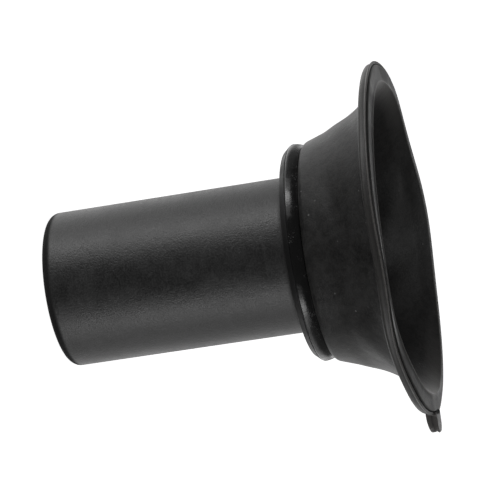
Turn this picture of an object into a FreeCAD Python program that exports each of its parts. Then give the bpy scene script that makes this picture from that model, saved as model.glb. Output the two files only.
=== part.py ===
import FreeCAD, Part
import math
import os
from FreeCAD import Vector

# Vacuum slide and diaphragm of a constant-velocity carburettor, in millimetres.
# The slide stands on its closed end at z = 0 with the diaphragm's mouth upwards.
# The axis of the slide is the Z axis. The locating tab points along -X.

# Slide: a tube closed at the bottom, with a flange at the top that holds the diaphragm
slideRadius = 13.5
slideWall = 1.5
slideHeight = 48.7
floorThickness = 4.5
footRound = 1.6
slideFlangeWidth = 4.1
slideFlangeThickness = 1.4
wellChamfer = 0.5

# Holes in the slide's floor: the jet needle's guide and seat, and the vacuum ports
needleHoleRadius = 1.3
needleSeatRadius = 3.2
needleSeatDepth = 2.0
portRadius = 1.5
portCentreRadius = 7.6
portCount = 2

# Retaining ring: pressed from below on a step of the slide, it clamps the diaphragm's lip to the flange
ringHeight = 3.25
ringWidth = 5.32
ringCrestHeight = 1.65
ringFootInset = 1.02
ringFlankInset = 0.17
ringFlankHeight = 1.0
ringGrooveDepth = 0.1
ringGrooveWidth = 0.12
ringTopInset = 0.57
ringSeatStep = 0.2
ringInterference = 0.03

# Diaphragm: one rubber moulding, made here as a neck, a wall and a rim that meet face to face
lipThickness = 0.9
lipClearance = 0.2
neckFootWall = 0.8
neckTopWall = 2.32
neckTopAboveFlange = 0.8
shoulderRadius = 1.5
wallThickness = 0.5
wallBow = 0.81
mouthRound = 0.45
rimHeight = 61.3
rimRadius = 30.7
rimFlangeWidth = 3.6
rimFlangeThickness = 0.45
rimEdgeRound = 0.12
beadInset = 0.4
beadWidth = 1.7
beadDepth = 1.4
beadRound = 0.6

# Locating tab on the rim
tabReach = 3.0
tabWidth = 4.0
tabCornerRadius = 1.2
tabEdgeRound = 0.45
tabPlateOverhang = 0.15

# Places that follow from the sizes above
wellRadius = slideRadius - slideWall
slideFlangeRadius = slideRadius + slideFlangeWidth
slideFlangeBottom = slideHeight - slideFlangeThickness
ringTop = slideFlangeBottom - lipThickness
ringBottom = ringTop - ringHeight
ringRadius = slideRadius + ringWidth
ringSeatRadius = slideRadius + ringSeatStep
neckFootRadius = slideFlangeRadius + neckFootWall
jointHeight = slideHeight + neckTopAboveFlange
jointRadius = slideFlangeRadius + neckTopWall
rimFlangeBottom = rimHeight - rimFlangeThickness
mouthRadius = rimRadius - rimFlangeWidth
beadBottom = rimFlangeBottom - beadDepth
beadOuterRadius = rimRadius - beadInset
beadInnerRadius = beadOuterRadius - beadWidth

# The wall's outer curve is an arc from the joint to the mouth that bows in towards the axis
chordAngle = math.atan2(mouthRadius - jointRadius, rimFlangeBottom - jointHeight)
chordLength = math.hypot(mouthRadius - jointRadius, rimFlangeBottom - jointHeight)
wallCurveRadius = chordLength ** 2 / (8 * wallBow) + wallBow / 2
coneAngle = chordAngle - math.asin(chordLength / 2 / wallCurveRadius)
coneNormal = (math.cos(coneAngle), -math.sin(coneAngle))
coneAlong = (math.sin(coneAngle), math.cos(coneAngle))
wallCentreRadius = jointRadius + wallCurveRadius * coneNormal[0]
wallCentreHeight = jointHeight + wallCurveRadius * coneNormal[1]


def point(radius, height):
    return Vector(radius, 0, height)


def line(start, end):
    return Part.LineSegment(point(*start), point(*end)).toShape()


def arc(start, middle, end):
    return Part.Arc(point(*start), point(*middle), point(*end)).toShape()


def cornerArc(start, corner, end):
    """Rounded corner as an arc that bulges towards the corner point."""
    bulge = 0.414
    middle = []
    for a, b, c in zip(start, corner, end):
        middle.append((a + c) / 2 + bulge * (b - (a + c) / 2))
    return arc(start, middle, end)


def revolved(edges):
    face = Part.Face(Part.Wire(Part.__sortEdges__(edges)))
    return face.revolve(Vector(0, 0, 0), Vector(0, 0, 1), 360)


def wallRadius(height, depth):
    """Radius of the wall at a height, at a depth under its outer surface."""
    rise = height - wallCentreHeight
    return wallCentreRadius - math.sqrt((wallCurveRadius + depth) ** 2 - rise ** 2)


def shoulderCentre():
    """Centre of the neck's rounded shoulder, which passes through the foot and is tangent to the cone."""
    across = jointRadius - shoulderRadius * coneNormal[0] - neckFootRadius
    up = jointHeight - shoulderRadius * coneNormal[1] - ringTop
    along = across * coneAlong[0] + up * coneAlong[1]
    slip = -along + math.sqrt(along ** 2 - across ** 2 - up ** 2 + shoulderRadius ** 2)
    return neckFootRadius + across + slip * coneAlong[0], ringTop + up + slip * coneAlong[1]


def makeSlide():
    tube = Part.makeCylinder(slideRadius, slideHeight)
    footEdge = [edge for edge in tube.Edges if edge.BoundBox.ZMax < footRound / 2]
    tube = tube.makeFillet(footRound, footEdge)
    ringSeat = Part.makeCylinder(ringSeatRadius, slideHeight - ringBottom, Vector(0, 0, ringBottom))
    flange = Part.makeCylinder(slideFlangeRadius, slideFlangeThickness, Vector(0, 0, slideFlangeBottom))
    slide = tube.fuse([ringSeat, flange]).removeSplitter()
    well = Part.makeCylinder(wellRadius, slideHeight, Vector(0, 0, floorThickness))
    leadIn = Part.makeCone(wellRadius, wellRadius + wellChamfer, wellChamfer,
                           Vector(0, 0, slideHeight - wellChamfer))
    needleHole = Part.makeCylinder(needleHoleRadius, floorThickness)
    needleSeat = Part.makeCylinder(needleSeatRadius, needleSeatDepth,
                                   Vector(0, 0, floorThickness - needleSeatDepth))
    for hollow in [well, leadIn, needleHole, needleSeat]:
        slide = slide.cut(hollow)
    for number in range(portCount):
        angle = 2 * math.pi * number / portCount + math.pi / 2
        centre = Vector(portCentreRadius * math.cos(angle), portCentreRadius * math.sin(angle), 0)
        slide = slide.cut(Part.makeCylinder(portRadius, floorThickness, centre))
    return slide


def makeRetainingRing():
    bore = ringSeatRadius - ringInterference
    foot = (ringRadius - ringFootInset, ringBottom)
    flankTop = (ringRadius - ringFlankInset, ringBottom + ringFlankHeight)
    groove = (flankTop[0] - ringGrooveDepth, flankTop[1] + ringGrooveWidth)
    crest = (ringRadius, ringBottom + ringCrestHeight)
    top = (ringRadius - ringTopInset, ringTop)
    edges = [
        line((bore, ringBottom), foot),
        line(foot, flankTop),
        line(flankTop, groove),
        arc(groove, crest, top),
        line(top, (bore, ringTop)),
        line((bore, ringTop), (bore, ringBottom)),
    ]
    return revolved(edges)


def makeDiaphragmNeck():
    lipInner = ringSeatRadius + lipClearance
    foot = (neckFootRadius, ringTop)
    centre = shoulderCentre()

    def onShoulder(angle):
        return centre[0] + shoulderRadius * math.cos(angle), centre[1] + shoulderRadius * math.sin(angle)

    footAngle = math.atan2(foot[1] - centre[1], foot[0] - centre[0])
    shoulderMiddle = onShoulder((footAngle - coneAngle) / 2)
    shoulderTop = onShoulder(-coneAngle)
    jointOuter = (jointRadius, jointHeight)
    jointInner = (wallRadius(jointHeight, wallThickness), jointHeight)
    flangeTop = (slideFlangeRadius, slideHeight)
    flangeFoot = (slideFlangeRadius, slideFlangeBottom)
    lipTop = (lipInner, slideFlangeBottom)
    edges = [
        line((lipInner, ringTop), foot),
        arc(foot, shoulderMiddle, shoulderTop),
        line(shoulderTop, jointOuter),
        line(jointOuter, jointInner),
        cornerArc(jointInner, (jointInner[0], slideHeight), flangeTop),
        line(flangeTop, flangeFoot),
        line(flangeFoot, lipTop),
        line(lipTop, (lipInner, ringTop)),
    ]
    return revolved(edges)


def makeDiaphragmWall():
    middle = (jointHeight + rimFlangeBottom) / 2
    outer = [(wallRadius(height, 0), height) for height in (jointHeight, middle, rimFlangeBottom)]
    inner = [(wallRadius(height, wallThickness), height) for height in (jointHeight, middle, rimFlangeBottom)]
    edges = [arc(*outer), line(outer[2], inner[2]), arc(*inner), line(inner[0], outer[0])]
    return revolved(edges)


def makeTab():
    """Tongue on the rim: a bead-high block under a thin plate that is a little wider."""
    root = rimRadius - beadInset - beadWidth / 2
    tip = rimRadius + tabReach

    def tongue(width, end, bottom, top):
        block = Part.makeBox(end - root, width, top - bottom, Vector(-end, -width / 2, bottom))
        corners = []
        for edge in block.Edges:
            upright = edge.BoundBox.ZLength > (top - bottom) / 2
            if upright and edge.BoundBox.XMax < -end + tabCornerRadius / 2:
                corners.append(edge)
        return block.makeFillet(tabCornerRadius, corners)

    block = tongue(tabWidth, tip - tabPlateOverhang, beadBottom, rimFlangeBottom)
    lowEdges = []
    for edge in block.Edges:
        onBottom = edge.BoundBox.ZMax < beadBottom + tabEdgeRound / 2
        if onBottom and edge.BoundBox.XMin < -root - tabEdgeRound / 2:
            lowEdges.append(edge)
    block = block.makeFillet(tabEdgeRound, lowEdges)
    plate = tongue(tabWidth + 2 * tabPlateOverhang, tip, rimFlangeBottom, rimHeight)
    return block.fuse(plate)


def makeDiaphragmRim():
    wallInner = (wallRadius(rimFlangeBottom, wallThickness), rimFlangeBottom)
    mouthEdge = (wallInner[0] + mouthRound, rimHeight)
    edgeTop = (rimRadius - rimEdgeRound, rimHeight)
    edgeSide = (rimRadius, rimHeight - rimEdgeRound)
    beadOuterSide = (beadOuterRadius, beadBottom + beadRound)
    beadOuterFoot = (beadOuterRadius - beadRound, beadBottom)
    beadInnerFoot = (beadInnerRadius + beadRound, beadBottom)
    beadInnerSide = (beadInnerRadius, beadBottom + beadRound)
    edges = [
        cornerArc(wallInner, (wallInner[0], rimHeight), mouthEdge),
        line(mouthEdge, edgeTop),
        cornerArc(edgeTop, (rimRadius, rimHeight), edgeSide),
        line(edgeSide, (rimRadius, rimFlangeBottom)),
        line((rimRadius, rimFlangeBottom), (beadOuterRadius, rimFlangeBottom)),
        line((beadOuterRadius, rimFlangeBottom), beadOuterSide),
        cornerArc(beadOuterSide, (beadOuterRadius, beadBottom), beadOuterFoot),
        line(beadOuterFoot, beadInnerFoot),
        cornerArc(beadInnerFoot, (beadInnerRadius, beadBottom), beadInnerSide),
        line(beadInnerSide, (beadInnerRadius, rimFlangeBottom)),
        line((beadInnerRadius, rimFlangeBottom), wallInner),
    ]
    return revolved(edges).fuse(makeTab()).removeSplitter()


pieces = {
    "slide": makeSlide(),
    "retaining_ring": makeRetainingRing(),
    "diaphragm_neck": makeDiaphragmNeck(),
    "diaphragm_wall": makeDiaphragmWall(),
    "diaphragm_rim": makeDiaphragmRim(),
}

os.makedirs("parts", exist_ok=True)
for name, shape in pieces.items():
    shape.exportStep("parts/" + name + ".step")
    print(name, "valid", shape.isValid(), "solids", len(shape.Solids), "volume", round(shape.Volume, 2))
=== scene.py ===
import math

import bmesh
import bpy
import numpy as np
from mathutils import Matrix, Vector


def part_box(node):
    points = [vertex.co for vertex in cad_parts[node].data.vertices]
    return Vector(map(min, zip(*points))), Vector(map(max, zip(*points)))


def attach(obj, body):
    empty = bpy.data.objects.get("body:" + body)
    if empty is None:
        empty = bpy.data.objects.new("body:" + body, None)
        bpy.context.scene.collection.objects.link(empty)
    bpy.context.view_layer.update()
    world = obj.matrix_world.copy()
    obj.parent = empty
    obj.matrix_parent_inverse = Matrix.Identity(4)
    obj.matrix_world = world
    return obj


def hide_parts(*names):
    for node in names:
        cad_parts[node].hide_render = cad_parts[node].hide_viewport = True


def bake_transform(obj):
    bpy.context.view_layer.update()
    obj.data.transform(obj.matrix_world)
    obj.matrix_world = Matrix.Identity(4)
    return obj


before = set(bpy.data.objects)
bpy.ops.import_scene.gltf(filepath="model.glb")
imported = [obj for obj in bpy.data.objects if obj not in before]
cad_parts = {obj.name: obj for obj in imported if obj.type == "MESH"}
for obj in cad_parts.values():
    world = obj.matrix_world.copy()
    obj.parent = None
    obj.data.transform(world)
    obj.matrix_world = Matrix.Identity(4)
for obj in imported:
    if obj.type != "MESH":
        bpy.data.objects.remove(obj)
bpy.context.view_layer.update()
scene = bpy.context.scene
mm = 0.001
print("Frame loaded:", ", ".join(sorted(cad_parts)))

# Sizes read from the frame, in mm
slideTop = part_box("slide")[1].z / mm
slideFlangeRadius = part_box("slide")[1].x / mm
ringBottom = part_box("retaining_ring")[0].z / mm
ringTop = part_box("retaining_ring")[1].z / mm
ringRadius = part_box("retaining_ring")[1].x / mm
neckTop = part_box("diaphragm_neck")[1].z / mm
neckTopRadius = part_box("diaphragm_neck")[1].x / mm
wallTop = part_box("diaphragm_wall")[1].z / mm
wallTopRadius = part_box("diaphragm_wall")[1].x / mm
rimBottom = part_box("diaphragm_rim")[0].z / mm
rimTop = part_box("diaphragm_rim")[1].z / mm
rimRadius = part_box("diaphragm_rim")[1].x / mm
tabTip = -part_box("diaphragm_rim")[0].x / mm
tabAngle = 180   # degrees, the tab points to -X


def smooth(value, low, high):
    share = np.clip((value - low) / (high - low), 0, 1)
    return share * share * (3 - 2 * share)


def turnFrom(angle, centre):
    # the shorter way round from centre to angle, in degrees
    return (angle - centre + 180) % 360 - 180


def bump(angle, centre, width):
    # a soft hill round the axis, 1 at its centre, in degrees
    return np.exp(-(turnFrom(angle, centre) / width) ** 2)


def hill(angle, place):
    # a rise or dip at one place round the rim, in mm
    return place["height"] * bump(angle, place["angle"], place["width"])


def roundCorner(start, corner, end, count):
    # a quarter circle where the two sides are square to each other
    middleWeight = 1.414
    points = []
    for t in np.linspace(0, 1, count):
        weights = ((1 - t) ** 2, middleWeight * t * (1 - t), t * t)
        sums = [sum(w * p[i] for w, p in zip(weights, (start, corner, end))) for i in (0, 1)]
        points.append((sums[0] / sum(weights), sums[1] / sum(weights)))
    return points


def straight(start, end, count):
    shares = np.linspace(0, 1, count)
    return [(start[0] + (end[0] - start[0]) * s, start[1] + (end[1] - start[1]) * s) for s in shares]


def chain(*runs):
    # joins runs of points into one outline, without the doubled ends
    tiny = 1e-5
    points = []
    for run in runs:
        for point in run:
            if not points or math.dist(points[-1], point) > tiny:
                points.append(point)
    if math.dist(points[0], points[-1]) < tiny:
        points.pop()
    return np.array(points)


def bendOf(outline, reach):
    # how sharply the outline bends within a short reach in mm: above 0 on ridges, below 0 in grooves
    steps = np.roll(outline, -1, 0) - outline
    lengths = np.hypot(steps[:, 0], steps[:, 1])
    headings = np.arctan2(steps[:, 1], steps[:, 0])
    turns = (headings - np.roll(headings, 1) + math.pi) % (2 * math.pi) - math.pi
    along = np.concatenate([[0], np.cumsum(lengths)[:-1]])
    gaps = np.abs(along[:, None] - along[None, :])
    gaps = np.minimum(gaps, lengths.sum() - gaps)
    return (np.exp(-(gaps / reach) ** 2) * turns[None, :]).sum(1)


def turnedPiece(name, outline, angles, turn, material, masks=()):
    # turns a closed outline right round; turn() may move each ring of points
    rings = []
    for angle in angles:
        x, y, z = turn(outline[:, 0], outline[:, 1], angle)
        rings.append(np.stack([x, y, z], -1))
    places = np.concatenate(rings) * mm
    count = len(outline)
    faces = []
    for column in range(len(angles)):
        here = column * count
        there = (column + 1) % len(angles) * count
        for row in range(count):
            after = (row + 1) % count
            faces.append((here + row, here + after, there + after, there + row))
    mesh = bpy.data.meshes.new(name)
    mesh.from_pydata(places.tolist(), [], faces)
    shell = bmesh.new()
    shell.from_mesh(mesh)
    bmesh.ops.recalc_face_normals(shell, faces=shell.faces)
    shell.to_mesh(mesh)
    shell.free()
    mesh.shade_smooth()
    bend = bendOf(outline, reach=0.14)
    # each mask is one value for each point of the outline, or a function of the angle that gives them
    stored = [("ridge", smooth(bend, 0.25, 1.3)), ("groove", smooth(-bend, 0.2, 1.0)), *masks]
    for maskName, values in stored:
        spread = [values(angle) if callable(values) else values for angle in angles]
        attribute = mesh.attributes.new(maskName, "FLOAT", "POINT")
        attribute.data.foreach_set("value", np.concatenate(spread).astype(np.float32))
    piece = bpy.data.objects.new(name, mesh)
    scene.collection.objects.link(piece)
    mesh.materials.append(material)
    return piece


class NodeMaker:
    # adds and joins the nodes of one material or world
    def __init__(self, owner):
        owner.use_nodes = True
        self.owner = owner
        self.nodes = owner.node_tree.nodes
        self.links = owner.node_tree.links
        self.coordinates = self.nodes.new("ShaderNodeTexCoord").outputs
        self.place = self.coordinates["Object"]

    def add(self, kind, inputs=None, **settings):
        node = self.nodes.new(kind)
        for key, value in settings.items():
            setattr(node, key, value)
        for key, value in (inputs or {}).items():
            self.feed(node.inputs[key], value)
        return node

    def feed(self, socket, value):
        if isinstance(value, bpy.types.NodeSocket):
            self.links.new(value, socket)
        else:
            socket.default_value = value

    def stored(self, name):
        return self.add("ShaderNodeAttribute", attribute_name=name).outputs["Fac"]

    def height(self):
        return self.add("ShaderNodeSeparateXYZ", {0: self.place}).outputs["Z"]

    def scaled(self, scale):
        return self.add("ShaderNodeMapping", {"Vector": self.place, "Scale": scale}).outputs[0]

    def noise(self, place, scale, detail=3.0, rough=0.6, warp=0.0):
        inputs = {"Vector": place, "Scale": scale, "Detail": detail, "Roughness": rough, "Distortion": warp}
        return self.add("ShaderNodeTexNoise", inputs).outputs["Fac"]

    def spread(self, value, low, high, newLow=0.0, newHigh=1.0):
        # a soft step from newLow to newHigh while value goes from low to high
        inputs = {"Value": value, "From Min": low, "From Max": high, "To Min": newLow, "To Max": newHigh}
        return self.add("ShaderNodeMapRange", inputs, interpolation_type="SMOOTHSTEP").outputs[0]

    def part(self, mask, most):
        # softly from 0 to most, where the mask goes from 0 to 1
        return self.spread(mask, 0, 1, 0, most)

    def maths(self, operation, first, second=0.0):
        return self.add("ShaderNodeMath", {0: first, 1: second}, operation=operation).outputs[0]

    def times(self, first, second):
        return self.maths("MULTIPLY", first, second)

    def plus(self, *values):
        total = values[0]
        for value in values[1:]:
            total = self.maths("ADD", total, value)
        return total

    def mix(self, share, first, second):
        node = self.add("ShaderNodeMix", data_type="RGBA")
        self.feed(node.inputs["Factor"], share)
        self.feed(node.inputs["A"], first)
        self.feed(node.inputs["B"], second)
        return node.outputs["Result"]

    def raised(self, height, distance, strength=1.0, normal=None):
        # distance in mm
        inputs = {"Height": height, "Distance": distance * mm, "Strength": strength}
        if normal is not None:
            inputs["Normal"] = normal
        return self.add("ShaderNodeBump", inputs).outputs[0]

    def shade(self, **inputs):
        for key, value in inputs.items():
            self.feed(self.nodes["Principled BSDF"].inputs[key.replace("_", " ")], value)


def newFinish(name):
    return NodeMaker(bpy.data.materials.new(name))


def grey(level, warm=0.0):
    return (level * (1 + warm), level, level * (1 - warm), 1.0)


# The slide: satin black plastic
slideSetting = {
    "dark": 0.010,
    "light": 0.048,
    "roughness": 0.40,
    "specular": 0.47,
    "grainSize": 0.28,   # mm
    "grainDepth": 0.10,   # mm
    "mottleScale": 900.0,   # noise scales are per metre
    "mottleDepth": 0.06,
    "cloudScale": 200.0,
    "turningScale": (60.0, 60.0, 1500.0),   # faint marks that run round the tube
    "turningDepth": 0.006,
    "footHeight": 2.0,   # mm, the rounded foot is rougher than the rest, and its colour is painted shade for the contact shadow
    "footShadowColour": 0.003,
    "footRoughness": 0.5,
    "shadeReach": 1.8,   # mm, painted shade under the ring, which is also rougher there
    "shadeGap": 0.2,
    "shadeRoughness": 0.3,
}


def slidePlastic(look):
    m = newFinish("satin black plastic")
    height = m.height()
    foot = m.spread(height, look["footHeight"] * 0.5 * mm, look["footHeight"] * mm, 1, 0)
    shadeStart = (ringBottom - look["shadeReach"]) * mm
    shade = m.spread(height, shadeStart, (ringBottom - look["shadeGap"]) * mm)
    grain = m.noise(m.place, 1 / (look["grainSize"] * mm), 2.0)
    mottle = m.noise(m.place, look["mottleScale"])
    clouds = m.noise(m.place, look["cloudScale"], 4.0, 0.55)
    turning = m.noise(m.scaled(look["turningScale"]), 1.0, 4.0, 0.7)
    marks = m.spread(turning, 0.45, 0.8)
    tone = m.plus(m.spread(clouds, 0.3, 0.7, 0, 0.4), m.spread(grain, 0.38, 0.62, 0, 0.4),
                  m.part(marks, 0.2), m.spread(mottle, 0.35, 0.65, 0, 0.15))
    colour = m.mix(tone, grey(look["dark"]), grey(look["light"]))
    # painted shade under the ring
    colour = m.mix(shade, colour, grey(look["dark"] * 0.2))
    # painted shade: the foot is darkened as a contact shadow
    colour = m.mix(foot, colour, grey(look["footShadowColour"]))
    rough = m.spread(clouds, 0.25, 0.75, look["roughness"] - 0.03, look["roughness"] + 0.04)
    rough = m.plus(rough, m.part(marks, 0.05), m.spread(grain, 0.3, 0.7, -0.04, 0.04),
                   m.part(shade, look["shadeRoughness"]), m.part(foot, look["footRoughness"]))
    m.shade(Base_Color=colour, Roughness=rough, Specular_IOR_Level=look["specular"])
    relief = m.raised(grain, look["grainDepth"], 0.6)
    relief = m.raised(mottle, look["mottleDepth"], 0.5, relief)
    m.shade(Normal=m.raised(marks, look["turningDepth"], 1.0, relief))
    return m.owner


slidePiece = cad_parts["slide"]
slidePiece.data.materials.clear()
slidePiece.data.materials.append(slidePlastic(slideSetting))
print("Slide finished")

# The retaining ring: glossy black plastic with a matte flank; sizes in mm
ringSetting = {
    "bore": 13.67,
    "footInset": 1.02,
    "flankInset": 0.17,
    "flankHeight": 1.0,
    "grooveDepth": 0.1,
    "grooveWidth": 0.12,
    "browDepth": 0.12,   # how far the crest stands out from the groove's foot
    "crestHeight": 1.32,
    "cheekHeight": 2.45,
    "topInset": 0.57,
    "topRound": 0.12,
    "edgeRound": 0.12,
    "columns": 288,
    "colour": 0.008,
    "scuffColour": 0.12,
    "grooveShadeColour": 0.001,
    "roughness": 0.15,
    "flankRoughness": 0.46,
    "specular": 0.52,
    "grainScale": 5200.0,   # per metre
    "grainDepth": 0.02,
    "patchScale": 420.0,
    "patchDepth": 0.11,
}


def ringPlastic(look):
    m = newFinish("glossy black plastic")
    flankTop = (ringBottom + look["flankHeight"]) * mm
    flank = m.spread(m.height(), flankTop - 0.05 * mm, flankTop + 0.1 * mm, 1, 0)
    groove = m.stored("groove")
    grain = m.noise(m.place, look["grainScale"])
    patches = m.noise(m.place, look["patchScale"])
    scuffs = m.times(m.spread(grain, 0.56, 0.68), m.spread(patches, 0.5, 0.66))
    colour = m.mix(scuffs, grey(look["colour"]), grey(look["scuffColour"]))
    colour = m.mix(flank, colour, grey(look["colour"] * 0.7))
    # painted shade: the groove is darkened
    colour = m.mix(groove, colour, grey(look["grooveShadeColour"]))
    rough = m.spread(patches, 0.3, 0.7, look["roughness"] - 0.03, look["roughness"] + 0.1)
    rough = m.plus(rough, m.part(scuffs, 0.25), m.part(flank, look["flankRoughness"] - look["roughness"]),
                   m.part(groove, 0.4))
    m.shade(Base_Color=colour, Roughness=rough, Specular_IOR_Level=look["specular"])
    relief = m.raised(grain, look["grainDepth"], 0.6)
    m.shade(Normal=m.raised(patches, look["patchDepth"], 0.6, relief))
    return m.owner


def ringOutline(r):
    e = r["edgeRound"]
    foot = (ringRadius - r["footInset"], ringBottom)
    footStart = (foot[0] - e, foot[1])
    flankStart = (foot[0] + e * 0.65, foot[1] + e)
    flankTop = (ringRadius - r["flankInset"], ringBottom + r["flankHeight"])
    grooveEdge = (flankTop[0] - 0.02, flankTop[1] + 0.04)
    groove = (flankTop[0] - r["grooveDepth"], flankTop[1] + r["grooveWidth"])
    brow = (groove[0] + r["browDepth"], groove[1] + 0.02)
    browCorner = (ringRadius, brow[1] + 0.02)
    crest = (ringRadius, ringBottom + r["crestHeight"])
    cheek = (ringRadius, ringBottom + r["cheekHeight"])
    shoulder = (ringRadius - r["topInset"], ringTop)
    topEdge = (shoulder[0] - 0.02, ringTop)
    top = (shoulder[0] - r["topRound"], ringTop)
    return chain(
        straight((r["bore"], ringBottom), footStart, 6),
        roundCorner(footStart, foot, flankStart, 6),
        straight(flankStart, flankTop, 8),
        roundCorner(flankTop, grooveEdge, groove, 5),
        straight(groove, brow, 3),
        roundCorner(brow, browCorner, crest, 7),
        roundCorner(crest, cheek, shoulder, 24),
        roundCorner(shoulder, topEdge, top, 4),
        straight(top, (r["bore"], ringTop), 6),
        straight((r["bore"], ringTop), (r["bore"], ringBottom), 6),
    )


def plainTurn(radius, height, angle):
    turn = math.radians(angle)
    return radius * math.cos(turn), radius * math.sin(turn), height


ringAngles = np.linspace(0, 360, ringSetting["columns"], endpoint=False)
ring = turnedPiece("retaining_ring_turned", ringOutline(ringSetting), ringAngles, plainTurn,
                   ringPlastic(ringSetting))
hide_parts("retaining_ring")
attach(ring, "slide")
print("Retaining ring finished")

# The diaphragm: one rubber moulding from the slide's flange to the rim; sizes in mm, angles in degrees
diaphragmSetting = {
    "lipInner": 13.9,
    "lipThickness": 0.9,
    "footRadius": 18.4,
    "shoulderRadius": 1.5,
    "shoulderTrim": 0.16,   # radians left out at the shoulder's foot
    "wallThickness": 0.5,
    "wallBow": 0.81,
    "mouthRound": 0.70,
    "mouthLineRise": 0.22,   # a fine raised line round the mouth
    "flareDepth": 1.9,   # how far down the mouth flares
    "plateDrop": 0.70,
    "plateThickness": 0.38,
    "plateEdgeRound": 0.14,
    "creaseInset": 0.62,   # a fine crease sets the rim's edge off from its face
    "creaseDepth": 0.22,
    "flangeThickness": 0.45,
    "beadInset": 0.4,
    "beadWidth": 1.7,
    "beadRound": 0.6,
    "tabWidth": 4.0,
    "tabCorner": 1.2,
    "tabPlateOverhang": 0.15,
    "tabRise": 0.36,   # the tab's plate is thicker than the rim's
    "tabHalfAngle": 4.3,
    "columns": 320,
    # soft rubber never sits quite flat: the whole rim's rise, its slow waves, its local rises and dips
    "rise": 0.12,
    "waves": [   # how many go round, their height, and the angle of the first top
        (1, 0.43, -142),
        (2, 0.12, 95),
        (3, 0.22, 133),
        (4, 0.10, 48),
    ],
    "hills": [
        {"angle": 182, "width": 20, "height": 0.72},
        {"angle": -68, "width": 18, "height": 0.38},
        {"angle": -112, "width": 22, "height": -0.28},
        {"angle": -86, "width": 14, "height": 0.22},
        {"angle": -59, "width": 14, "height": -0.22},
        {"angle": -25, "width": 18, "height": 0.42},
        {"angle": -155, "width": 20, "height": 0.38},
        {"angle": 122, "width": 25, "height": -1.12},
    ],
    "edgeCurl": {"angle": 102, "width": 17, "height": 0.55},   # the edge turns up here
    "mouthSink": {"angle": -90, "width": 60, "height": -0.24},   # the mouth's inner edge sinks here
    "neckShift": -0.15,   # the neck sits this far along X from the rim's middle
    "dents": [   # soft dents in the wall: how many go round, how they slant, where they start, how deep
        {"round": 4, "slant": -0.50, "start": 1.05, "depth": 0.20},
        {"round": 9, "slant": -0.45, "start": 4.4, "depth": 0.10},
    ],
    "farDents": {"round": 11, "slant": -0.55, "start": 0.6, "depth": 0.19, "angle": -90, "width": 60},
    "dark": 0.006,
    "light": 0.030,
    "ridgeHighlightColour": 0.10,   # painted highlight on the ridges
    "beadColour": 0.040,
    "tabSheenColour": 0.11,
    "mouthLightColour": 0.12,
    "faceColour": 0.004,
    "lineHighlightColour": 0.16,
    "creaseShadeColour": 0.002,
    "dust": 0.13,
    "roughness": 0.46,
    "beadRoughness": 0.42,   # the bead is a little smoother than the wall
    "specular": 0.37,
    "grainScale": 3600.0,   # noise scales are per metre
    "grainDepth": 0.06,
    "mottleScale": 800.0,
    "mottleDepth": 0.08,
    "patchScale": 120.0,
    "patchDepth": 0.20,
    "speckScale": 420.0,
    "speckSpread": 700.0,   # thins the dust specks out into groups
}

d = diaphragmSetting
wallThickness = d["wallThickness"]

# The wall's outer side is an arc from the neck to the rim that bows inwards
chordAngle = math.atan2(wallTopRadius - neckTopRadius, wallTop - neckTop)
chordLength = math.hypot(wallTopRadius - neckTopRadius, wallTop - neckTop)
curveRadius = chordLength ** 2 / (8 * d["wallBow"]) + d["wallBow"] / 2
coneAngle = chordAngle - math.asin(chordLength / 2 / curveRadius)
coneNormal = (math.cos(coneAngle), -math.sin(coneAngle))
coneAlong = (math.sin(coneAngle), math.cos(coneAngle))
curveCentre = (neckTopRadius + curveRadius * coneNormal[0], neckTop + curveRadius * coneNormal[1])


def wallRadius(height, depth):
    return curveCentre[0] - math.sqrt((curveRadius + depth) ** 2 - (height - curveCentre[1]) ** 2)


def wallRun(depth, start, end, count):
    return [(wallRadius(height, depth), height) for height in np.linspace(start, end, count)]


def shoulderRun(count):
    # the arc from the neck's foot that meets the wall's lower end without a corner
    reach = d["shoulderRadius"]
    foot = (d["footRadius"], ringTop)
    across = neckTopRadius - reach * coneNormal[0] - foot[0]
    up = neckTop - reach * coneNormal[1] - foot[1]
    along = across * coneAlong[0] + up * coneAlong[1]
    slip = -along + math.sqrt(along ** 2 - across ** 2 - up ** 2 + reach ** 2)
    centre = (foot[0] + across + slip * coneAlong[0], foot[1] + up + slip * coneAlong[1])
    first = math.atan2(foot[1] - centre[1], foot[0] - centre[0]) + d["shoulderTrim"]
    turns = np.linspace(first, -coneAngle, count)
    return [(centre[0] + reach * math.cos(t), centre[1] + reach * math.sin(t)) for t in turns]


flangeBottom = rimTop - d["flangeThickness"]
beadOuter = rimRadius - d["beadInset"]
beadInner = beadOuter - d["beadWidth"]
mouthInner = wallRadius(flangeBottom, wallThickness)
mouthEdge = mouthInner + d["mouthRound"]
plateBottom = rimTop - d["plateDrop"]
plateTop = plateBottom + d["plateThickness"]
creaseRadius = rimRadius - d["creaseInset"]
flareEnd = flangeBottom - d["flareDepth"]


def neckAndWall():
    # from the lip's inner edge, under the neck and up the wall's outer side to the flange
    shoulder = shoulderRun(14)
    footEnd = (d["footRadius"] - 0.35, ringTop)
    footCorner = (d["footRadius"] - 0.1, ringTop + 0.02)
    wallEnd = (wallRadius(flangeBottom - 0.2, 0), flangeBottom - 0.2)
    wallCorner = (wallRadius(flangeBottom, 0), flangeBottom)
    flangeStart = (wallCorner[0] + 0.25, flangeBottom)
    return [
        straight((d["lipInner"], ringTop), footEnd, 10),
        roundCorner(footEnd, footCorner, shoulder[0], 5),
        shoulder,
        straight(shoulder[-1], (neckTopRadius, neckTop), 5),
        wallRun(0, neckTop, wallEnd[1], 44),
        roundCorner(wallEnd, wallCorner, flangeStart, 5),
        straight(flangeStart, (beadInner - 0.08, flangeBottom), 6),
    ]


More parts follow.
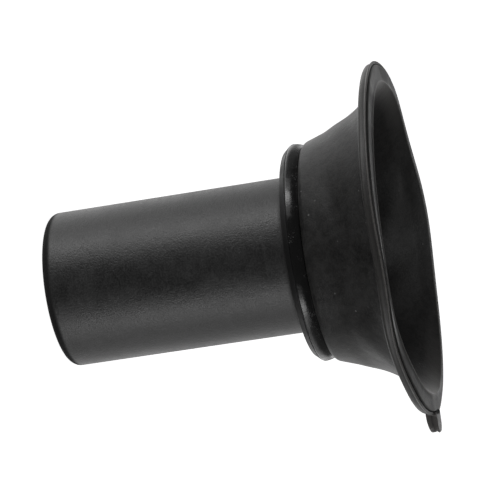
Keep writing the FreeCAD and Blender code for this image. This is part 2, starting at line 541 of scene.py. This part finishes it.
def beadRun():
    # down the bead's inner side, under it and up to the rim's plate
    r = d["beadRound"]
    innerTop = (beadInner, flangeBottom - 0.1)
    outerTop = (beadOuter, plateBottom - 0.35)
    plateStart = (beadOuter + 0.2, plateBottom - 0.02)
    return [
        straight((beadInner - 0.08, flangeBottom), innerTop, 3),
        straight(innerTop, (beadInner, rimBottom + r), 5),
        roundCorner((beadInner, rimBottom + r), (beadInner, rimBottom), (beadInner + r, rimBottom), 8),
        straight((beadInner + r, rimBottom), (beadOuter - r, rimBottom), 5),
        roundCorner((beadOuter - r, rimBottom), (beadOuter, rimBottom), (beadOuter, rimBottom + r), 8),
        straight((beadOuter, rimBottom + r), outerTop, 4),
        roundCorner(outerTop, (beadOuter, plateBottom - 0.15), plateStart, 5),
    ]


def plateAndFace():
    # round the rim's edge, over the crease and in across the flat face
    e = d["plateEdgeRound"]
    underStart = (beadOuter + 0.2, plateBottom + 0.01)
    underCorner = (rimRadius, plateBottom + 0.05)
    creaseOuter = (creaseRadius + 0.1, plateTop - 0.02)
    creaseFoot = (creaseRadius, plateTop - d["creaseDepth"])
    creaseInner = (creaseRadius - 0.05, plateTop - 0.02)
    faceCorner = (creaseRadius - 0.12, rimTop - 0.06)
    faceOuter = (creaseRadius - 0.4, rimTop - 0.05)
    return [
        roundCorner(underStart, underCorner, (rimRadius, plateBottom + 0.18), 5),
        roundCorner((rimRadius, plateTop - e), (rimRadius, plateTop), (rimRadius - e, plateTop), 6),
        straight((rimRadius - e, plateTop), creaseOuter, 4),
        roundCorner(creaseOuter, creaseFoot, creaseInner, 5),
        roundCorner(creaseInner, faceCorner, faceOuter, 8),
        straight(faceOuter, (mouthEdge + 0.9, rimTop + 0.03), 12),
    ]


def mouthAndLip():
    # over the line round the mouth, down the flare and the wall's inner side, and round the lip
    lineTop = rimTop + d["mouthLineRise"]
    faceInner = (mouthEdge + 0.9, rimTop + 0.03)
    lineOuter = (mouthEdge + 0.06, lineTop)
    lineInner = (mouthEdge - 0.1, lineTop - 0.08)
    flareFoot = (wallRadius(flareEnd, wallThickness), flareEnd)
    neckInner = (wallRadius(neckTop, wallThickness), neckTop)
    lipTop = ringTop + d["lipThickness"]
    return [
        roundCorner(faceInner, (mouthEdge + 0.45, rimTop + 0.05), lineOuter, 8),
        roundCorner(lineOuter, (mouthEdge - 0.04, lineTop + 0.04), lineInner, 6),
        roundCorner(lineInner, (mouthInner + 0.05, rimTop - 0.55), flareFoot, 14),
        wallRun(wallThickness, flareEnd, neckTop, 40),
        roundCorner(neckInner, (neckInner[0], slideTop), (slideFlangeRadius, slideTop), 8),
        straight((slideFlangeRadius, slideTop), (slideFlangeRadius, lipTop), 4),
        straight((slideFlangeRadius, lipTop), (d["lipInner"], lipTop), 8),
        straight((d["lipInner"], lipTop), (d["lipInner"], ringTop), 4),
    ]


def tongueAt(gap, width, tip):
    # how far a round-cornered tongue reaches from the axis, gap degrees from its middle line
    corner = d["tabCorner"]
    rootReach = 24.0
    turns = np.linspace(0, math.pi / 2, 12)
    x = np.concatenate([[tip, tip], tip - corner + corner * np.cos(turns), [rootReach]])
    y = np.concatenate([[0, width / 2 - corner], width / 2 - corner + corner * np.sin(turns), [width / 2]])
    return np.interp(abs(gap), np.degrees(np.arctan2(y, x)), np.hypot(x, y))


def withTab(radius, height, gap):
    # pulls the bead and the plate out to the tab's outline
    bead = tongueAt(gap, d["tabWidth"], tabTip - d["tabPlateOverhang"])
    plate = tongueAt(gap, d["tabWidth"] + 2 * d["tabPlateOverhang"], tabTip)
    beadEdge = max(beadOuter, bead)
    plateEdge = max(rimRadius, plate)
    beadStart = beadInner + 0.5
    isBead = (radius > beadStart) & (height < plateBottom - 0.001)
    isPlate = (radius > creaseRadius + 0.01) & ~isBead
    onUnder = isPlate & (height < plateBottom + 0.01)
    r = radius.copy()
    r[isBead] = np.interp(radius[isBead], [beadStart, beadOuter], [beadStart, beadEdge])
    r[isPlate] = np.interp(radius[isPlate], [creaseRadius, rimRadius], [creaseRadius, plateEdge])
    r[onUnder] = np.interp(radius[onUnder], [beadOuter, rimRadius], [beadEdge, plateEdge])
    return r


def rimRise(radius, height, angle, gap):
    # the rim's slow waves fade out down the wall
    rise = d["rise"]
    for count, size, top in d["waves"]:
        rise += size * math.cos(count * math.radians(angle - top))
    for place in d["hills"]:
        rise += hill(angle, place)
    rise = rise * smooth(height, neckTop, flangeBottom)
    outwards = smooth(radius, wallTopRadius, rimRadius)
    rise = rise + hill(angle, d["mouthSink"]) * (1 - outwards) * smooth(height, wallTop - 2, wallTop)
    rise = rise + hill(angle, d["edgeCurl"]) * outwards * (height > rimBottom - 0.1)
    # the tab's plate is raised, and the crease doesn't cross it
    tabHalf = d["tabHalfAngle"]
    onTongue = (1 - smooth(abs(gap), tabHalf, 5.2)) * smooth(radius, creaseRadius, creaseRadius + 0.1)
    abovePlate = height > plateBottom + 0.1
    rise = rise + d["tabRise"] * onTongue * abovePlate
    inCrease = (abs(radius - creaseRadius) < 0.12) & (height < plateTop - 0.04) & abovePlate
    return rise + d["creaseDepth"] * (1 - smooth(abs(gap), tabHalf, 6.0)) * inCrease


def dentAt(dent, height, turn):
    return dent["depth"] * np.sin(dent["round"] * turn + dent["slant"] * height + dent["start"])


def wallDents(height, angle):
    turn = math.radians(angle)
    far = d["farDents"]
    depth = dentAt(far, height, turn) * bump(angle, far["angle"], far["width"])
    for dent in d["dents"]:
        depth = depth + dentAt(dent, height, turn)
    above = smooth(height, neckTop + 0.5, neckTop + 4)
    return depth * above * (1 - smooth(height, wallTop - 3, wallTop))


def diaphragmTurn(radius, height, angle):
    gap = turnFrom(angle, tabAngle)
    turn = math.radians(angle)
    r = withTab(radius, height, gap) + wallDents(height, angle)
    shift = d["neckShift"] * (1 - smooth(height, neckTop, flangeBottom))
    return r * math.cos(turn) + shift, r * math.sin(turn), height + rimRise(radius, height, angle, gap)


def diaphragmAngles():
    # closer columns across the tab, and closest at its two sides
    tabHalf = d["tabHalfAngle"]
    closeHalf = 5.5
    angles = list(np.linspace(0, 360, d["columns"], endpoint=False))
    angles = [angle for angle in angles if abs(angle - tabAngle) > closeHalf]
    angles += list(tabAngle + np.linspace(-3.3, 3.3, 23))
    for side in (-1, 1):
        angles += list(tabAngle + side * np.linspace(3.35, tabHalf, 20))
        angles += list(tabAngle + side * np.linspace(tabHalf + 0.15, closeHalf, 4))
    return np.array(sorted(angles))


def diaphragmMasks(outline):
    # where the moulding's finish changes, for each point of the outline
    radius = outline[:, 0]
    height = outline[:, 1]
    onBead = smooth(radius, beadOuter - 0.3, beadOuter - 0.05) * (height < plateTop + 0.01)
    reachesTab = (radius > beadOuter - 0.4).astype(float)
    inFlare = (radius < mouthEdge + 0.02) * smooth(height, flareEnd - 0.6, rimTop - 0.2)
    onFace = smooth(radius, mouthEdge + 0.3, mouthEdge + 0.7) * (height > rimTop - 0.1)
    onFace = onFace * (1 - smooth(radius, creaseRadius - 0.5, creaseRadius - 0.3))
    onLine = (np.abs(radius - mouthEdge) < 0.16) * (height > rimTop)

    def mouthPaintedLight(angle):
        # the flare is painted lighter on its two sides, as painted light
        return inFlare * (bump(angle, 0, 34) + bump(angle, 180, 34))

    def onTab(angle):
        return reachesTab * (1 - smooth(abs(turnFrom(angle, tabAngle)), d["tabHalfAngle"], 5.0))

    return [("bead", onBead), ("tab", onTab), ("mouth", mouthPaintedLight), ("face", onFace), ("line", onLine)]


def rubber(look):
    m = newFinish("black rubber")
    bead = m.stored("bead")
    groove = m.stored("groove")
    grain = m.noise(m.place, look["grainScale"])
    mottle = m.noise(m.place, look["mottleScale"])
    patches = m.noise(m.place, look["patchScale"], 4.0, 0.55, 0.4)
    cells = m.add("ShaderNodeTexVoronoi", {"Vector": m.place, "Scale": look["speckScale"]})
    rare = m.noise(m.place, look["speckSpread"], 1.0, 0.5)
    specks = m.times(m.spread(cells.outputs["Distance"], 0.045, 0.09, 1, 0), m.spread(rare, 0.54, 0.6))
    tone = m.plus(m.spread(patches, 0.3, 0.7, 0, 0.5), m.spread(grain, 0.38, 0.62, 0, 0.35),
                  m.spread(mottle, 0.38, 0.62, 0, 0.35))
    # painted highlight along the ridges, broken up by grain
    ridgeHighlight = m.times(m.stored("ridge"), m.spread(grain, 0.3, 0.6, 0.5, 1))
    # painted sheen on the tab, broken up in patches
    tabSheen = m.times(m.stored("tab"), m.spread(patches, 0.3, 0.7, 0.4, 1))
    colour = m.mix(tone, grey(look["dark"], 0.02), grey(look["light"], 0.02))
    # each is laid over the ones before it
    for cover, level, warm in (
        (m.times(m.stored("face"), 0.7), look["faceColour"], 0.02),
        # painted light inside the mouth's flare
        (m.stored("mouth"), look["mouthLightColour"], 0.04),
        (m.times(bead, 0.8), look["beadColour"], 0.04),
        (tabSheen, look["tabSheenColour"], 0.04),
        (ridgeHighlight, look["ridgeHighlightColour"], 0.04),
        # painted highlight on the raised line round the mouth
        (m.times(m.stored("line"), 0.8), look["lineHighlightColour"], 0.03),
        # painted shade in the creases
        (groove, look["creaseShadeColour"], 0.0),
        (specks, look["dust"], 0.0),
    ):
        colour = m.mix(cover, colour, grey(level, warm))
    rough = m.spread(patches, 0.25, 0.75, look["roughness"] - 0.06, look["roughness"] + 0.08)
    rough = m.plus(rough, m.part(specks, 0.3), m.part(bead, look["beadRoughness"] - look["roughness"]),
                   m.part(groove, 0.35))
    m.shade(Base_Color=colour, Roughness=rough, Specular_IOR_Level=look["specular"])
    relief = m.raised(grain, look["grainDepth"], 0.6)
    relief = m.raised(mottle, look["mottleDepth"], 0.6, relief)
    m.shade(Normal=m.raised(patches, look["patchDepth"], 0.6, relief))
    return m.owner


diaphragmOutline = chain(*neckAndWall(), *beadRun(), *plateAndFace(), *mouthAndLip())
diaphragm = turnedPiece("diaphragm_moulding", diaphragmOutline, diaphragmAngles(), diaphragmTurn,
                        rubber(diaphragmSetting), diaphragmMasks(diaphragmOutline))
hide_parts("diaphragm_neck", "diaphragm_wall", "diaphragm_rim")
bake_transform(diaphragm)
print("Diaphragm finished")

# The floor: plain white, and it throws nothing back on the object
floorSetting = {
    "radius": 9.0,   # m
    "corners": 64,
    "drop": 0.0001,   # m below the slide's foot
    "colour": 0.9,
    "roughness": 0.9,
    "brightness": 1.0,
}


def makeFloor(setting):
    radius = setting["radius"]
    turns = np.linspace(0, 2 * math.pi, setting["corners"], endpoint=False)
    corners = [(radius * math.cos(t), radius * math.sin(t), -setting["drop"]) for t in turns]
    mesh = bpy.data.meshes.new("floor")
    mesh.from_pydata(corners, [], [list(range(setting["corners"]))])
    floor = bpy.data.objects.new("floor", mesh)
    scene.collection.objects.link(floor)
    m = newFinish("white floor")
    m.shade(Base_Color=grey(setting["colour"]), Roughness=setting["roughness"], Emission_Color=grey(1.0),
            Emission_Strength=setting["brightness"])
    mesh.materials.append(m.owner)
    floor.visible_diffuse = False
    floor.visible_glossy = False
    floor.visible_transmission = False
    floor.visible_shadow = False


# The studio: a white tent with a dark front, and five lamps. Each edge, top and foot is a pair: where
# the light starts to change and where it stops, from -1 to 1 along an axis
studioSetting = {
    "dim": 0.06,   # glow of the dark front, top and bottom of the tent
    "bright": 1.45,   # glow of its white sides and back
    "frontEdge": (0.38, 0.74),   # where the white sides give way to the dark front
    "bandMiddle": -0.10,   # height of the middle of the white band
    "bandEdge": (0.29, 0.50),
    "lean": 0.08,   # the white band leans down to the +X side
    "behindEdge": (-0.9, -0.1),   # behind the object the tent is white at every height
    "topEdge": (-0.15, 0.02),   # the tent is dimmer above the object
    "topShare": 0.19,
    "leftEdge": (-0.8, 0.0),   # the -X side is a little dimmer
    "leftShare": 0.58,
    "backEdge": (-0.98, -0.86),   # straight behind, the tent is dimmer
    "backShare": 0.35,
    "cardEdge": (-0.98, -0.80),   # a low white card straight behind
    "cardTop": (0.05, 0.55),
    "cardFoot": (-0.12, 0.02),
    "lampAim": (0, 0, 0.035),   # m
    "lamps": [   # azimuth and elevation in degrees, distance, width and height in m
        {"name": "right strip", "azimuth": 27, "elevation": -8, "distance": 0.7,
         "width": 0.16, "height": 0.50, "glow": 4.4},
        {"name": "right panel", "azimuth": 27, "elevation": -8, "distance": 0.72,
         "width": 0.60, "height": 0.50, "glow": 0.9},
        {"name": "left strip", "azimuth": 146, "elevation": -8, "distance": 0.7,
         "width": 0.16, "height": 0.50, "glow": 3.7},
        {"name": "left panel", "azimuth": 148, "elevation": -8, "distance": 0.72,
         "width": 0.60, "height": 0.50, "glow": 0.8},
        {"name": "top box", "azimuth": 95, "elevation": 66, "distance": 0.9,
         "width": 0.9, "height": 0.30, "glow": 1.5},
    ],
}


def makeLamp(setting, aim):
    azimuth = math.radians(setting["azimuth"])
    elevation = math.radians(setting["elevation"])
    flat = math.cos(elevation)
    outwards = Vector((math.cos(azimuth) * flat, math.sin(azimuth) * flat, math.sin(elevation)))
    lamp = bpy.data.lights.new(setting["name"], "AREA")
    lamp.shape = "RECTANGLE"
    lamp.size = setting["width"]
    lamp.size_y = setting["height"]
    lamp.energy = setting["glow"] * math.pi * setting["width"] * setting["height"]
    holder = bpy.data.objects.new(setting["name"], lamp)
    scene.collection.objects.link(holder)
    holder.location = Vector(aim) + outwards * setting["distance"]
    holder.rotation_mode = "QUATERNION"
    holder.rotation_quaternion = outwards.to_track_quat("Z", "Y")
    holder.visible_camera = False


def makeTent(setting):
    # the camera itself sees plain white
    world = bpy.data.worlds.new("studio")
    scene.world = world
    m = NodeMaker(world)
    x, y, z = m.add("ShaderNodeSeparateXYZ", {0: m.coordinates["Generated"]}).outputs
    leaning = m.plus(z, m.times(x, setting["lean"]))
    offMiddle = m.maths("ABSOLUTE", m.maths("SUBTRACT", leaning, setting["bandMiddle"]))
    sides = m.times(m.spread(y, *setting["frontEdge"], 1, 0), m.spread(offMiddle, *setting["bandEdge"], 1, 0))
    glow = m.maths("MAXIMUM", sides, m.spread(y, *setting["behindEdge"], 1, 0))
    glow = m.times(glow, m.spread(leaning, *setting["topEdge"], 1, setting["topShare"]))
    glow = m.times(glow, m.spread(y, *setting["backEdge"], setting["backShare"], 1))
    glow = m.times(glow, m.spread(x, *setting["leftEdge"], setting["leftShare"], 1))
    card = m.times(m.spread(y, *setting["cardEdge"], 1, 0), m.spread(z, *setting["cardTop"], 1, 0))
    card = m.times(card, m.spread(z, *setting["cardFoot"], 0, 1))
    glow = m.maths("MAXIMUM", glow, card)
    strength = m.spread(glow, 0, 1, setting["dim"], setting["bright"])
    seen = m.add("ShaderNodeLightPath").outputs["Is Camera Ray"]
    choose = m.add("ShaderNodeMix", {"Factor": seen, "A": strength, "B": 1.0})
    background = m.nodes["Background"]
    m.feed(background.inputs["Color"], grey(1.0))
    m.feed(background.inputs["Strength"], choose.outputs["Result"])


makeFloor(floorSetting)
for lampSetting in studioSetting["lamps"]:
    makeLamp(lampSetting, studioSetting["lampAim"])
makeTent(studioSetting)
scene.view_settings.view_transform = "Standard"
scene.view_settings.look = "None"
print("Studio finished")

cameraSetting = {
    "aim": (1.99, 0.0, 34.08),   # mm
    "distance": 460.35,   # mm
    "tilt": 10.86,   # degrees above the level
    "roll": 81.28,   # degrees, which lays the part on its side in the view
    "lens": 191.636,
    "sensor": 36.0,
    "clip": (0.01, 50),   # m
}


def makeCamera(setting):
    tilt = math.radians(setting["tilt"])
    roll = math.radians(setting["roll"])
    back = Vector((0, math.cos(tilt), math.sin(tilt)))
    level = Vector((-1, 0, 0))
    upright = Vector((0, -math.sin(tilt), math.cos(tilt)))
    right = level * math.cos(roll) + upright * math.sin(roll)
    up = upright * math.cos(roll) - level * math.sin(roll)
    camera = bpy.data.cameras.new("camera")
    camera.lens = setting["lens"]
    camera.sensor_width = setting["sensor"]
    camera.clip_start, camera.clip_end = setting["clip"]
    holder = bpy.data.objects.new("camera", camera)
    scene.collection.objects.link(holder)
    place = (Vector(setting["aim"]) + back * setting["distance"]) * mm
    turn = Matrix((right, up, back)).transposed().to_4x4()
    holder.matrix_world = Matrix.Translation(place) @ turn
    scene.camera = holder


makeCamera(cameraSetting)
print("Camera finished")
